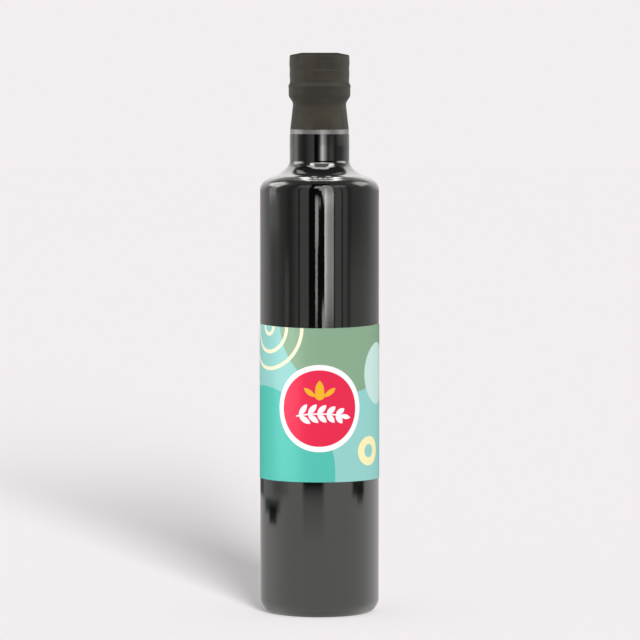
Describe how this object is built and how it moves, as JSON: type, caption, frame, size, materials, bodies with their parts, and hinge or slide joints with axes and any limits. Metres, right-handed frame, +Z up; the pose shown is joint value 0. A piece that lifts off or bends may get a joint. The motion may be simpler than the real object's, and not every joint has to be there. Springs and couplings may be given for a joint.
{
  "type": "olive oil bottle",
  "caption": "Slim round bottle of dark glass for olive oil, shut, with a wrap label, a thin neck band and a matte shrink capsule.",
  "frame": {"origin": "centre of the flat ring that the bottle stands on", "axes": "+Z up along the bottle's axis; the middle of the label's front faces -Y and the bare strip between its ends faces +Y; +X is to the right seen from the front"},
  "size_m": [0.063, 0.063, 0.2945],
  "materials": {
    "dark_glass": "near-black gloss glass, filled and opaque",
    "band_film": "satin silver-grey film",
    "capsule_film": "matt dark olive-grey film",
    "label_paper": "smooth coated paper with printed fields of sage, aqua and teal"
  },
  "bodies": {
    "root": {"bottle": "dark_glass", "neck_band": "band_film", "capsule": "capsule_film", "label": "label_paper"}
  },
  "joints": []
}
